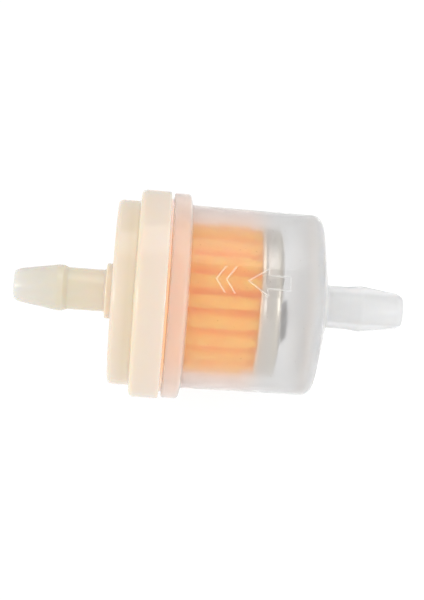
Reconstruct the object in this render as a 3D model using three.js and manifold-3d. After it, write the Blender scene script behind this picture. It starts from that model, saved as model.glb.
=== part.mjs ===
// Inline fuel filter for a small engine, with barbed spigots for 8 mm hose.
// Two plastic mouldings, a cream cap and a milky bowl, are welded together around a pleated paper element.
// Millimetres. The filter's axis is the X axis: the outlet spigot points to -X and the inlet spigot to +X.
// Fuel comes in through the bowl, passes inwards through the paper and leaves along the core and the cap.
import * as THREE from 'three';
import { mergeVertices } from 'three/addons/utils/BufferGeometryUtils.js';
import Module from 'manifold-3d';

const wasm = await Module();
wasm.setup();

// ---- Driving dimensions -------------------------------------------------------------------------------

const LENGTH = 84.2;             // tip of one spigot to tip of the other
const TIP_X = LENGTH / 2;
const TURN_SEGMENTS = 40;       // flats round every turned piece on the filter's axis
const FILLET_STEPS = 2;         // flats in a small fillet
const TOUCH = 0.1;              // clearance left where two pieces touch

// Spigots: both have a rounded tip, a taper up to one barb and a parallel stem.
// Distances along a spigot are measured from its tip.
const BORE_R = 2.9;
const TIP_LAND_R = 3.1;         // outer edge of the flat ring round the bore
const NOSE_CURVE = [[0, 0], [0.15, 0.25], [0.45, 0.6], [1, 1]];
const CAP_SPIGOT = {
  noseLength: 2.0,
  noseR: 3.77,                  // where the rounded nose runs into the taper
  barbStart: 9.3,
  barbEnd: 10.5,
  barbR: 4.99,
  stemStart: 11.5,
  stemR: 4.54,
};
const BOWL_SPIGOT = {
  noseLength: 1.5,
  noseR: 3.87,
  barbStart: 8.9,
  barbEnd: 9.4,
  barbR: 4.93,
  stemStart: 11.9,
  stemR: 4.6,
};

// Cap: outlet spigot, collar, rear drum and the wide flange that holds the socket for the bowl.
const COLLAR_R = 6.0;
const COLLAR_X = -22.45;
const DRUM_R = 20.0;
const DRUM_X = -20.8;
const DRUM_FILLET = 1.0;
const CAP_FLANGE_R = 22.5;
const CAP_FLANGE_X = -16.05;
const CAP_FLANGE_FILLET = 1.1;
const CAP_FACE_X = -9.6;
const RIM_FILLET = 0.3;
const SOCKET_R = 20.2;
const SOCKET_FLOOR_X = -15.0;
const CAP_INNER_R = 18.2;
const CAP_FLOOR_X = -18.6;
const SEAT_RIB_X = -17.2;       // top of the two ribs that hold the seat adhesive
const SEAT_RIB_WALL = 0.6;
const SEAT_OUTER_R = 16.4;
const SEAT_INNER_R = 7.1;

// Bowl: inlet spigot, shallow conical end, drafted barrel, flange and the short skirt inside the cap.
const BOWL_WALL = 1.65;
const BOWL_END_R = 19.59;       // barrel radius where the end corner begins
const BOWL_FRONT_R = 19.88;     // barrel radius beside the flange
const BOWL_CORNER = 2.1;
const BOWL_CORNER_X = 21.12;
const CONE_DEG = 10.4;
const BOWL_FLANGE_R = 22.2;
const BOWL_FLANGE_X = -9.0;
const BOWL_FLANGE_BACK_X = -5.4;
const BOWL_FLANGE_ROOT_X = -4.85;
const BOWL_SKIRT_R = 19.9;
const BOWL_SKIRT_X = -14.7;

// Weld: remelted plastic in the pocket at the foot of the groove between the two flanges.
const WELD_TOP_R = 20.9;
const WELD_DEPTH_X = -10.2;

// Raised marks on the barrel: one outlined flow arrow and two plain chevrons ahead of it.
const MARK_HEIGHT = 0.28;
const MARK_LINE = 0.31;
const MARK_UP_DEG = 32;         // how far up from the -Y side the marks stand
const ARROW_TIP_X = 6.9;
const ARROW_LENGTH = 9.1;
const ARROW_HEAD = 4.45;
const ARROW_HALF_WIDTH = 3.05;
const ARROW_SHAFT_HALF = 1.6;
const CHEVRON_TIPS_X = [0.3, 2.4];
const CHEVRON_DEPTH = 1.9;
const CHEVRON_HALF_WIDTH = 2.8;

// Element: pleated paper round a slotted core, closed at the bowl end by a tinplate cap.
const PLEATS = 22;
const PAPER_X = [-17.0, 13.1];
const PAPER_THICKNESS = 0.5;
const PLEAT_OUTER_R = 15.35;    // middle of the sheet at an outer fold
const PLEAT_INNER_R = 8.65;
const OUTER_FOLD_R = 1.1;
const INNER_FOLD_R = 0.55;
const SEAM_END_R = 14.4;
const SEAM_BEND_R = 11.6;
const SEAM_HALF_GAP = 0.35;
const SEAM_UP_DEG = -50;        // where the seam stands, measured up from the +Y side
const CLIP_R = [12.3, 14.9];
const CLIP_WALL = 0.3;
const CLIP_HALF_WIDTH = 1.0;
const CLIP_X = [-16.8, 12.9];
const CORE_R = 8.0;
const CORE_WALL = 0.4;
const CORE_SLOT = [5.0, 2.6];   // length along the axis, width round the tube
const CORE_SLOT_ROWS = 4;
const CORE_SLOT_PAIRS = 3;
const END_CAP_R = 16.1;
const END_CAP_WALL = 0.4;
const END_CAP_RIM_X = 10.0;
const END_CAP_FACE_X = 15.0;
const END_CAP_CORNER = 1.5;
const END_CAP_BEAD = 0.25;      // how far the rolled rim stands out

// Trap magnet: a plain disc that sits off centre on the end cap and is held by its own pull.
const MAGNET_R = 4.4;
const MAGNET_THICKNESS = 1.9;
const MAGNET_CHAMFER = 0.3;
const MAGNET_OFFSET = 3.9;
const MAGNET_DOWN_DEG = 70;     // direction of the offset, measured down from the -Y side
const MAGNET_SEGMENTS = 28;

// ---- Finishes -----------------------------------------------------------------------------------------

const FINISHES = {
  milky_plastic: { color: 0xd6d8da, roughness: 0.35, metalness: 0 },
  cream_plastic: { color: 0xf0dfc6, roughness: 0.35, metalness: 0 },
  weld_plastic: { color: 0xeab48a, roughness: 0.45, metalness: 0 },
  filter_paper: { color: 0xf0a868, roughness: 0.9, metalness: 0 },
  tinplate: { color: 0xc9c2b6, roughness: 0.3, metalness: 1 },
  adhesive: { color: 0xe6c48c, roughness: 0.5, metalness: 0 },
  ferrite: { color: 0x4a4c50, roughness: 0.6, metalness: 0.2 },
};

// ---- Helpers ------------------------------------------------------------------------------------------

const radians = THREE.MathUtils.degToRad;

// Points [x, r] round an arc in the half plane of a turned outline.
function arc(x, r, radius, fromDeg, toDeg, steps = FILLET_STEPS) {
  const points = [];
  for (let i = 0; i <= steps; i += 1) {
    const angle = radians(fromDeg + (toDeg - fromDeg) * i / steps);
    points.push([x + radius * Math.cos(angle), r + radius * Math.sin(angle)]);
  }
  return points;
}

// A body turned about the X axis from an outline of [x, r] points.
// The outline either starts and ends on the axis or is closed here.
function turned(outline, segments = TURN_SEGMENTS) {
  const points = outline.map(([x, r]) => new THREE.Vector2(r, x));
  if (THREE.ShapeUtils.isClockWise(points)) points.reverse();
  if (points[0].x > 0) points.push(points[0].clone());
  const geometry = new THREE.LatheGeometry(points, segments);
  geometry.rotateZ(-Math.PI / 2);
  return geometry;
}

// A prism along X from a shape drawn in the YZ plane.
function prismAlongX(shape, [fromX, toX]) {
  const geometry = new THREE.ExtrudeGeometry(shape, { depth: toX - fromX, bevelEnabled: false });
  const xAxis = new THREE.Vector3(1, 0, 0);
  const yAxis = new THREE.Vector3(0, 1, 0);
  const zAxis = new THREE.Vector3(0, 0, 1);
  geometry.applyMatrix4(new THREE.Matrix4().makeBasis(yAxis, zAxis, xAxis));
  geometry.translate(fromX, 0, 0);
  return geometry;
}

function toSolid(geometry) {
  const bare = geometry.clone();
  bare.deleteAttribute('normal');
  bare.deleteAttribute('uv');
  const merged = mergeVertices(bare);
  const vertProperties = new Float32Array(merged.attributes.position.array);
  const triVerts = new Uint32Array(merged.index.array);
  return new wasm.Manifold(new wasm.Mesh({ numProp: 3, vertProperties, triVerts }));
}

function toGeometry(solid) {
  const mesh = solid.getMesh();
  const geometry = new THREE.BufferGeometry();
  geometry.setAttribute('position', new THREE.BufferAttribute(mesh.vertProperties, 3));
  geometry.setIndex(new THREE.BufferAttribute(mesh.triVerts, 1));
  geometry.computeVertexNormals();
  return geometry;
}

function piece(name, geometry, finish) {
  const mesh = new THREE.Mesh(geometry, new THREE.MeshStandardMaterial(FINISHES[finish]));
  mesh.name = name;
  return mesh;
}

// Outer outline of a spigot as [distance from the tip, r] points, from the bore's mouth to the stem's foot.
function spigotOutline(spigot, stemEnd) {
  const rise = spigot.noseR - TIP_LAND_R;
  return [
    [0, BORE_R],
    ...NOSE_CURVE.map(([along, up]) => [along * spigot.noseLength, TIP_LAND_R + up * rise]),
    [spigot.barbStart, spigot.barbR],
    [spigot.barbEnd, spigot.barbR],
    [spigot.stemStart, spigot.stemR],
    [stemEnd, spigot.stemR],
  ];
}

// ---- Cap ----------------------------------------------------------------------------------------------

function capGeometry() {
  const rootFillet = 0.45;
  const spigot = spigotOutline(CAP_SPIGOT, TIP_X + COLLAR_X - rootFillet);
  const collarFillet = 0.25;
  const mouth = 1.0;
  const outside = [
    ...spigot.map(([distance, r]) => [distance - TIP_X, r]),
    [COLLAR_X, CAP_SPIGOT.stemR + rootFillet],
    [COLLAR_X, COLLAR_R - collarFillet],
    [COLLAR_X + collarFillet, COLLAR_R],
    [DRUM_X, COLLAR_R],
    ...arc(DRUM_X + DRUM_FILLET, DRUM_R - DRUM_FILLET, DRUM_FILLET, 180, 90),
    [CAP_FLANGE_X, DRUM_R],
    ...arc(CAP_FLANGE_X + CAP_FLANGE_FILLET, CAP_FLANGE_R - CAP_FLANGE_FILLET, CAP_FLANGE_FILLET, 180, 90),
    ...arc(CAP_FACE_X - RIM_FILLET, CAP_FLANGE_R - RIM_FILLET, RIM_FILLET, 90, 0),
    [CAP_FACE_X + TOUCH, WELD_TOP_R + TOUCH],
  ];
  const inside = [
    [WELD_DEPTH_X - TOUCH, SOCKET_R],
    [SOCKET_FLOOR_X, SOCKET_R],
    [SOCKET_FLOOR_X, CAP_INNER_R],
    [CAP_FLOOR_X, CAP_INNER_R],
    [CAP_FLOOR_X, SEAT_OUTER_R + SEAT_RIB_WALL],
    [SEAT_RIB_X, SEAT_OUTER_R + SEAT_RIB_WALL],
    [SEAT_RIB_X, SEAT_OUTER_R],
    [CAP_FLOOR_X, SEAT_OUTER_R],
    [CAP_FLOOR_X, SEAT_INNER_R],
    [SEAT_RIB_X, SEAT_INNER_R],
    [SEAT_RIB_X, SEAT_INNER_R - SEAT_RIB_WALL],
    [CAP_FLOOR_X, SEAT_INNER_R - SEAT_RIB_WALL],
    [CAP_FLOOR_X, BORE_R + mouth],
    [CAP_FLOOR_X - mouth, BORE_R],
  ];
  return turned([...outside, ...inside]);
}

// ---- Bowl ---------------------------------------------------------------------------------------------

// Radius of the barrel's outer surface at x, on its moulding draft.
function barrelRadius(x) {
  const along = (x - BOWL_FLANGE_ROOT_X) / (BOWL_CORNER_X - BOWL_FLANGE_ROOT_X);
  return BOWL_FRONT_R + (BOWL_END_R - BOWL_FRONT_R) * along;
}

function bowlTurnedGeometry() {
  const cornerR = BOWL_END_R - BOWL_CORNER;
  const slope = Math.tan(radians(CONE_DEG));
  const cornerSteps = 4;
  const outerCorner = arc(BOWL_CORNER_X, cornerR, BOWL_CORNER, CONE_DEG, 90, cornerSteps);
  const innerCorner = arc(BOWL_CORNER_X, cornerR, BOWL_CORNER - BOWL_WALL, 90, CONE_DEG, cornerSteps);
  const coneX = (corner, r) => corner[0] + (corner[1] - r) * slope;
  const rootFillet = 0.5;
  const mouth = 1.0;
  const rootX = coneX(outerCorner[0], BOWL_SPIGOT.stemR + rootFillet);
  const spigot = spigotOutline(BOWL_SPIGOT, TIP_X - rootX - rootFillet);
  const innerCone = innerCorner[cornerSteps];
  const mouthX = coneX(innerCone, BORE_R + mouth);
  const flangeFillet = 0.8;
  const skirtChamfer = 0.4;
  const outside = [
    ...spigot.map(([distance, r]) => [TIP_X - distance, r]),
    [rootX, BOWL_SPIGOT.stemR + rootFillet],
    ...outerCorner,
    [BOWL_FLANGE_ROOT_X, BOWL_FRONT_R],
    ...arc(BOWL_FLANGE_BACK_X - flangeFillet, BOWL_FLANGE_R - flangeFillet, flangeFillet, 15, 90),
    ...arc(BOWL_FLANGE_X + TOUCH + RIM_FILLET, BOWL_FLANGE_R - RIM_FILLET, RIM_FILLET, 90, 180),
    [BOWL_FLANGE_X, WELD_TOP_R + TOUCH],
    [BOWL_FLANGE_X, BOWL_SKIRT_R],
    [BOWL_SKIRT_X + skirtChamfer, BOWL_SKIRT_R],
    [BOWL_SKIRT_X, BOWL_SKIRT_R - skirtChamfer],
  ];
  const inside = [
    [BOWL_SKIRT_X, BOWL_FRONT_R - BOWL_WALL],
    ...innerCorner,
    [mouthX, BORE_R + mouth],
    [mouthX + mouth, BORE_R],
  ];
  return turned([...outside, ...inside]);
}

// Flow arrow pointing to -X with its tip at u = 0, drawn in from its outer edge by inset.
function arrowPoints(inset) {
  const halfAngle = Math.atan2(ARROW_HALF_WIDTH, ARROW_HEAD);
  const tip = inset / Math.sin(halfAngle);
  const base = ARROW_HEAD - inset;
  const corner = (base - tip) * Math.tan(halfAngle);
  const shaft = ARROW_SHAFT_HALF - inset;
  const end = ARROW_LENGTH - inset;
  // The shaft's lines start at the head's back edge, which the inset moves towards the tip.
  const half = [[base, -corner], [base, -shaft], [end, -shaft]];
  const mirrored = half.map(([u, v]) => [u, -v]).reverse();
  return [[tip, 0], ...half, ...mirrored].map(([u, v]) => new THREE.Vector2(ARROW_TIP_X + u, v));
}

function arrowShape() {
  const shape = new THREE.Shape(arrowPoints(0));
  shape.holes.push(new THREE.Path(arrowPoints(MARK_LINE)));
  return shape;
}

function chevronShape(tipX) {
  const line = MARK_LINE / Math.sin(Math.atan2(CHEVRON_HALF_WIDTH, CHEVRON_DEPTH));
  return new THREE.Shape([
    new THREE.Vector2(tipX, 0),
    new THREE.Vector2(tipX + CHEVRON_DEPTH, -CHEVRON_HALF_WIDTH),
    new THREE.Vector2(tipX + CHEVRON_DEPTH + line, -CHEVRON_HALF_WIDTH),
    new THREE.Vector2(tipX + line, 0),
    new THREE.Vector2(tipX + CHEVRON_DEPTH + line, CHEVRON_HALF_WIDTH),
    new THREE.Vector2(tipX + CHEVRON_DEPTH, CHEVRON_HALF_WIDTH),
  ]);
}

// A mark drawn flat and pushed out along a radius, then trimmed to a thin curved skin on the barrel.
function raisedMark(shape) {
  const depth = 3;
  const bite = 0.6;
  const skinFromX = 0;
  const skinToX = 18;
  const prism = new THREE.ExtrudeGeometry(shape, { depth, bevelEnabled: false });
  prism.translate(0, 0, BOWL_END_R - depth / 2);
  const angle = radians(MARK_UP_DEG);
  const along = new THREE.Vector3(1, 0, 0);
  const round = new THREE.Vector3(0, Math.sin(angle), Math.cos(angle));
  const out = new THREE.Vector3(0, -Math.cos(angle), Math.sin(angle));
  prism.applyMatrix4(new THREE.Matrix4().makeBasis(along, round, out));
  const skin = turned([
    [skinFromX, barrelRadius(skinFromX) - bite],
    [skinFromX, barrelRadius(skinFromX) + MARK_HEIGHT],
    [skinToX, barrelRadius(skinToX) + MARK_HEIGHT],
    [skinToX, barrelRadius(skinToX) - bite],
  ]);
  return toSolid(prism).intersect(toSolid(skin));
}

function bowlGeometry() {
  const shapes = [arrowShape(), ...CHEVRON_TIPS_X.map(chevronShape)];
  let solid = toSolid(bowlTurnedGeometry());
  for (const shape of shapes) {
    solid = solid.add(raisedMark(shape));
  }
  return toGeometry(solid);
}

function weldGeometry() {
  return turned([
    [BOWL_FLANGE_X - TOUCH, BOWL_SKIRT_R + TOUCH],
    [BOWL_FLANGE_X - TOUCH, WELD_TOP_R],
    [CAP_FACE_X + TOUCH, WELD_TOP_R - TOUCH],
    [WELD_DEPTH_X, SOCKET_R - TOUCH / 2],
    [WELD_DEPTH_X, BOWL_SKIRT_R + TOUCH],
  ]);
}

// ---- Element ------------------------------------------------------------------------------------------

const polar = (r, angle) => new THREE.Vector2(r * Math.cos(angle), r * Math.sin(angle));

// Three points round a fold of the sheet, whose middle stands at angle; side is +1 outside and -1 inside.
function foldPoints(angle, foldR, middleR, side) {
  const centre = polar(middleR - side * foldR, angle);
  const spread = 65;
  const points = [];
  for (const turn of [-spread, 0, spread]) {
    const direction = angle + side * radians(turn) + (side < 0 ? Math.PI : 0);
    points.push(centre.clone().add(polar(foldR, direction)));
  }
  return side > 0 ? points : points.reverse();
}

// Middle line of the pleated sheet, from one free end round to the other.
function sheetLine() {
  const step = 2 * Math.PI / PLEATS;
  const seamPoint = (r, side) => new THREE.Vector2(r, side * SEAM_HALF_GAP);
  const line = [seamPoint(SEAM_END_R, 1), seamPoint(SEAM_BEND_R, 1)];
  for (let pleat = 0; pleat < PLEATS; pleat += 1) {
    if (pleat > 0) line.push(...foldPoints(pleat * step, OUTER_FOLD_R, PLEAT_OUTER_R, 1));
    line.push(...foldPoints((pleat + 0.5) * step, INNER_FOLD_R, PLEAT_INNER_R, -1));
  }
  line.push(seamPoint(SEAM_BEND_R, -1), seamPoint(SEAM_END_R, -1));
  return line;
}

// The sheet's section: its middle line thickened to both sides.
function sheetShape() {
  const line = sheetLine();
  const sides = { left: [], right: [] };
  line.forEach((point, i) => {
    const before = line[Math.max(i - 1, 0)];
    const after = line[Math.min(i + 1, line.length - 1)];
    const direction = after.clone().sub(before).normalize();
    const across = new THREE.Vector2(-direction.y, direction.x).multiplyScalar(PAPER_THICKNESS / 2);
    sides.left.push(point.clone().add(across));
    sides.right.push(point.clone().sub(across));
  });
  return new THREE.Shape([...sides.right, ...sides.left.reverse()]);
}

// Folded strip that pinches the two free ends of the sheet together.
function clipShape() {
  const [footR, topR] = CLIP_R;
  const outer = CLIP_HALF_WIDTH;
  const inner = CLIP_HALF_WIDTH - CLIP_WALL;
  const corners = [
    [footR, outer], [footR, inner], [topR - CLIP_WALL, inner], [topR - CLIP_WALL, -inner],
    [footR, -inner], [footR, -outer], [topR, -outer], [topR, outer],
  ];
  return new THREE.Shape(corners.map(([r, across]) => new THREE.Vector2(r, across)));
}

// A tube with rows of slots that let the fuel through to the middle.
function coreGeometry() {
  const [fromX, toX] = PAPER_X;
  let solid = toSolid(turned([
    [fromX, CORE_R - CORE_WALL],
    [fromX, CORE_R],
    [toX, CORE_R],
    [toX, CORE_R - CORE_WALL],
  ]));
  const pitch = (toX - fromX) / CORE_SLOT_ROWS;
  const [slotLength, slotWidth] = CORE_SLOT;
  for (let row = 0; row < CORE_SLOT_ROWS; row += 1) {
    for (let pair = 0; pair < CORE_SLOT_PAIRS; pair += 1) {
      const cutter = new THREE.BoxGeometry(slotLength, slotWidth, CORE_R * 3);
      cutter.rotateX(Math.PI * (pair + row / 2) / CORE_SLOT_PAIRS);
      cutter.translate(fromX + pitch * (row + 0.5), 0, 0);
      solid = solid.subtract(toSolid(cutter));
    }
  }
  return toGeometry(solid);
}

function endCapGeometry() {
  const cornerX = END_CAP_FACE_X - END_CAP_CORNER;
  const cornerR = END_CAP_R - END_CAP_CORNER;
  const innerR = END_CAP_R - END_CAP_WALL;
  const beadX = END_CAP_RIM_X + 2 * END_CAP_BEAD;
  const cornerSteps = 3;
  return turned([
    [END_CAP_FACE_X, 0],
    ...arc(cornerX, cornerR, END_CAP_CORNER, 0, 90, cornerSteps),
    [beadX + END_CAP_BEAD, END_CAP_R],
    [beadX, END_CAP_R + END_CAP_BEAD],
    [END_CAP_RIM_X, END_CAP_R + END_CAP_BEAD / 2],
    [END_CAP_RIM_X, innerR],
    ...arc(cornerX, cornerR, END_CAP_CORNER - END_CAP_WALL, 90, 0, cornerSteps),
    [END_CAP_FACE_X - END_CAP_WALL, 0],
  ]);
}

// Adhesive disc in the bottom of the end cap.
function endPottingGeometry() {
  const backX = END_CAP_FACE_X - END_CAP_WALL - TOUCH;
  const wallR = END_CAP_R - END_CAP_WALL - TOUCH;
  const slant = END_CAP_CORNER;
  return turned([
    [PAPER_X[1] + TOUCH, 0],
    [PAPER_X[1] + TOUCH, wallR],
    [backX - slant / 2, wallR - TOUCH],
    [backX, wallR - slant],
    [backX, 0],
  ]);
}

// Adhesive ring between the two ribs on the cap's floor.
function seatPottingGeometry() {
  return turned([
    [CAP_FLOOR_X + TOUCH, SEAT_INNER_R + TOUCH],
    [CAP_FLOOR_X + TOUCH, SEAT_OUTER_R - TOUCH],
    [PAPER_X[0] - TOUCH, SEAT_OUTER_R - TOUCH],
    [PAPER_X[0] - TOUCH, SEAT_INNER_R + TOUCH],
  ]);
}

function magnetGeometry() {
  return turned([
    [0, 0],
    [0, MAGNET_R - MAGNET_CHAMFER],
    [MAGNET_CHAMFER, MAGNET_R],
    [MAGNET_THICKNESS - MAGNET_CHAMFER, MAGNET_R],
    [MAGNET_THICKNESS, MAGNET_R - MAGNET_CHAMFER],
    [MAGNET_THICKNESS, 0],
  ], MAGNET_SEGMENTS);
}

// ---- Assembly -----------------------------------------------------------------------------------------

const paper = new THREE.Group();
paper.rotation.x = radians(SEAM_UP_DEG);
paper.add(piece('pleated_paper', prismAlongX(sheetShape(), PAPER_X), 'filter_paper'));
paper.add(piece('seam_clip', prismAlongX(clipShape(), CLIP_X), 'tinplate'));

const magnet = piece('magnet', magnetGeometry(), 'ferrite');
const magnetAngle = radians(MAGNET_DOWN_DEG);
magnet.position.set(
  END_CAP_FACE_X + TOUCH,
  -MAGNET_OFFSET * Math.cos(magnetAngle),
  -MAGNET_OFFSET * Math.sin(magnetAngle),
);

const element = new THREE.Group();
element.add(paper);
element.add(piece('core_tube', coreGeometry(), 'tinplate'));
element.add(piece('end_cap', endCapGeometry(), 'tinplate'));
element.add(piece('end_cap_potting', endPottingGeometry(), 'adhesive'));
element.add(piece('seat_potting', seatPottingGeometry(), 'adhesive'));
element.add(magnet);

const filter = new THREE.Group();
filter.add(piece('cap', capGeometry(), 'cream_plastic'));
filter.add(piece('bowl', bowlGeometry(), 'milky_plastic'));
filter.add(piece('weld_seam', weldGeometry(), 'weld_plastic'));
filter.add(element);

export default filter;
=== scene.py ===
"""Fuel filter for a small engine: its visible pieces, their finishes, the studio and the camera.

The filter's axis is the X axis, with the outlet at -X and the inlet at +X. Sizes are in millimetres, apart
from what is handed to Blender, which works in metres.
"""

import logging
import math
from collections.abc import Callable, Iterator, Sequence
from dataclasses import dataclass, field
from enum import Enum

import bmesh
import bpy
from mathutils import Matrix, Vector


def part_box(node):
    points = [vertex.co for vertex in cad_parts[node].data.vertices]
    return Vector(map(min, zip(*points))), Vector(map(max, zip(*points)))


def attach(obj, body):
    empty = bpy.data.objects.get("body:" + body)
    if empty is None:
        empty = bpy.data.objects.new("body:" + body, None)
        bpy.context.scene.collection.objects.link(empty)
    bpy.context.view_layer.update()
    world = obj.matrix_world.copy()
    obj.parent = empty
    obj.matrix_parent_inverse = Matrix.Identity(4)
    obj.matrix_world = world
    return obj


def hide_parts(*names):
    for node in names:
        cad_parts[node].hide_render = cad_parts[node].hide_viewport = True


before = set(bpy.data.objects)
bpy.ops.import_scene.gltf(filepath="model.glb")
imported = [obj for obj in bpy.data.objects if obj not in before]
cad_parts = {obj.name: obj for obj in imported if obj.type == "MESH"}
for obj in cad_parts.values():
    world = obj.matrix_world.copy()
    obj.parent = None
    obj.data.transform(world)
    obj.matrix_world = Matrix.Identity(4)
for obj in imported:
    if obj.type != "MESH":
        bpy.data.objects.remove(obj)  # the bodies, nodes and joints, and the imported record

MM = 0.001
ROOT = "root"
FULL_TURN = 2 * math.pi
TURN_STEPS = 192
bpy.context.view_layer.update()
LOG = logging.getLogger("fuel_filter")

Piece = bpy.types.Object
Material = bpy.types.Material
Pair = tuple[float, float]
Triple = tuple[float, float, float]
Stops = Sequence[tuple[float, tuple[float, ...]]]


# ---- Modelling bench ----------------------------------------------------------------------------------


@dataclass(frozen=True)
class Corner:
    """One corner of a turned outline.

    Args:
        x: Place along the filter's axis.
        r: Distance from the axis.
        fillet: Radius that rounds the corner, or 0 for a sharp one.
        steps: Edges in the rounding.
    """

    x: float
    r: float
    fillet: float = 0.0
    steps: int = 4

    def point(self) -> Vector:
        """The corner above the axis, in metres."""
        return Vector((self.x, 0.0, self.r)) * MM


class Op(Enum):
    """How a boolean modifier combines two pieces."""

    JOIN = "UNION"
    CUT = "DIFFERENCE"
    KEEP = "INTERSECT"


def start_fresh() -> None:
    """Leave edit mode and deselect everything."""
    if bpy.context.mode != "OBJECT":
        bpy.ops.object.mode_set(mode="OBJECT")
    bpy.ops.object.select_all(action="DESELECT")


def make_active(piece: Piece) -> None:
    """Select one piece alone and make it the active one."""
    start_fresh()
    piece.select_set(True)
    bpy.context.view_layer.objects.active = piece


def select_vertices(piece: Piece, wanted: Callable[[Vector], bool]) -> int:
    """Select the vertices of a piece in edit mode by their place.

    Args:
        piece: The piece in edit mode.
        wanted: Says whether a place, in metres, is selected.

    Returns:
        How many vertices are selected.
    """
    bpy.ops.mesh.select_mode(type="VERT")
    mesh = bmesh.from_edit_mesh(piece.data)
    for vertex in mesh.verts:
        vertex.select_set(bool(wanted(vertex.co)))
    mesh.select_flush(True)
    bmesh.update_edit_mesh(piece.data)
    return sum(vertex.select for vertex in mesh.verts)


def draw_chain(name: str, points: Sequence[Vector]) -> Piece:
    """Draw a chain of edges, one extrusion after another, and stay in edit mode.

    Args:
        name: The piece's name.
        points: The chain's places in order, in metres.

    Returns:
        The piece, with the chain's last vertex selected.
    """
    start_fresh()
    bpy.ops.mesh.primitive_plane_add(size=MM, location=points[0])
    piece = bpy.context.object
    piece.name = name
    bpy.ops.object.transform_apply(location=True, rotation=True, scale=True)
    bpy.ops.object.mode_set(mode="EDIT")
    bpy.ops.mesh.select_all(action="SELECT")
    bpy.ops.mesh.merge(type="CENTER")
    for before, after in zip(points, points[1:]):
        bpy.ops.mesh.extrude_region_move(TRANSFORM_OT_translate={"value": after - before})
    return piece


def draw_face(name: str, points: Sequence[Vector]) -> Piece:
    """Draw a flat face from its corners and stay in edit mode with the face selected."""
    piece = draw_chain(name, points)
    bpy.ops.mesh.select_all(action="SELECT")
    bpy.ops.mesh.edge_face_add()
    return piece


def round_corner(piece: Piece, before: Corner, corner: Corner, after: Corner) -> None:
    """Round one corner of a flat face in edit mode.

    Args:
        piece: The piece whose face is rounded.
        before: The corner before it.
        corner: The corner with the fillet.
        after: The corner after it.
    """
    place = corner.point()
    inner_angle = (before.point() - place).angle(after.point() - place)
    reach = corner.fillet / math.tan(inner_angle / 2)
    near = 1e-6
    select_vertices(piece, lambda co: (co - place).length < near)
    bpy.ops.mesh.bevel(offset=reach * MM, segments=corner.steps, profile=0.5, affect="VERTICES")


def turned(name: str, outline: Sequence[Corner], steps: int = TURN_STEPS) -> Piece:
    """Turn an outline round the filter's axis into a closed body.

    Args:
        name: The piece's name.
        outline: Corners in order. They close on themselves, or start and end on the axis.
        steps: Facets round the body.

    Returns:
        The finished piece, smooth except at its sharp edges.
    """
    piece = draw_face(name, [corner.point() for corner in outline])
    for i, corner in enumerate(outline):
        if corner.fillet > 0:
            round_corner(piece, outline[i - 1], corner, outline[(i + 1) % len(outline)])
    bpy.ops.mesh.select_all(action="SELECT")
    bpy.ops.mesh.delete(type="ONLY_FACE")
    on_axis = 1e-7
    if select_vertices(piece, lambda co: co.z < on_axis) == 2:
        bpy.ops.mesh.select_mode(type="EDGE")
        bpy.ops.mesh.delete(type="EDGE")
        bpy.ops.mesh.select_mode(type="VERT")
    bpy.ops.mesh.select_all(action="SELECT")
    bpy.ops.mesh.spin(steps=steps, angle=FULL_TURN, center=(0, 0, 0), axis=(1, 0, 0))
    return close_up(piece)


def close_up(piece: Piece) -> Piece:
    """Merge doubles, turn all faces outwards, leave edit mode and shade the piece."""
    if bpy.context.mode == "OBJECT":
        make_active(piece)
        bpy.ops.object.mode_set(mode="EDIT")
    bpy.ops.mesh.select_all(action="SELECT")
    bpy.ops.mesh.remove_doubles(threshold=1e-6)
    bpy.ops.mesh.dissolve_degenerate(threshold=1e-7)
    bpy.ops.mesh.select_all(action="SELECT")
    bpy.ops.mesh.normals_make_consistent(inside=False)
    bpy.ops.object.mode_set(mode="OBJECT")
    shade(piece)
    return piece


def shade(piece: Piece, sharp_degrees: float = 32.0) -> None:
    """Shade a piece smooth, apart from edges sharper than the angle."""
    make_active(piece)
    bpy.ops.object.shade_smooth_by_angle(angle=math.radians(sharp_degrees))


def modify(piece: Piece, kind: str, **settings: object) -> None:
    """Add a modifier and apply it.

    Args:
        piece: The piece to change.
        kind: The modifier's type.
        **settings: The modifier's properties.
    """
    make_active(piece)
    modifier = piece.modifiers.new(kind.lower(), kind)
    for key, value in settings.items():
        setattr(modifier, key, value)
    bpy.ops.object.modifier_apply(modifier=modifier.name)


def combine(piece: Piece, tool: Piece, how: Op, use_self: bool = False) -> None:
    """Join, cut or keep a piece with a tool, which is used up and may cross itself."""
    modify(piece, "BOOLEAN", operation=how.value, solver="EXACT", use_self=use_self, object=tool)
    bpy.data.objects.remove(tool)


def roughen(
    piece: Piece, name: str, size: float, depth: float, middle: float = 0.5, layers: int = 2
) -> None:
    """Move a piece's surface in and out by cloud noise.

    Args:
        piece: The piece to change.
        name: The noise's name.
        size: Size of its features, in millimetres.
        depth: How far it moves the surface, in millimetres.
        middle: The noise level that leaves the surface in place.
        layers: How many finer layers the noise has.
    """
    clouds = bpy.data.textures.new(name, "CLOUDS")
    clouds.noise_scale = size * MM
    clouds.noise_depth = layers
    strength = depth * MM
    modify(piece, "DISPLACE", texture=clouds, strength=strength, mid_level=middle, texture_coords="LOCAL")


def shift(piece: Piece, step: Sequence[float]) -> None:
    """Move a piece by a step in metres and leave its origin where it was."""
    make_active(piece)
    bpy.ops.transform.translate(value=step)
    bpy.ops.object.transform_apply(location=True)


def ring_point(x: float, r: float, angle: float) -> Vector:
    """A place round the axis, in metres, its angle measured from +Y towards +Z."""
    return Vector((x, r * math.cos(angle), r * math.sin(angle))) * MM


# ---- Shader maths -------------------------------------------------------------------------------------


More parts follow.
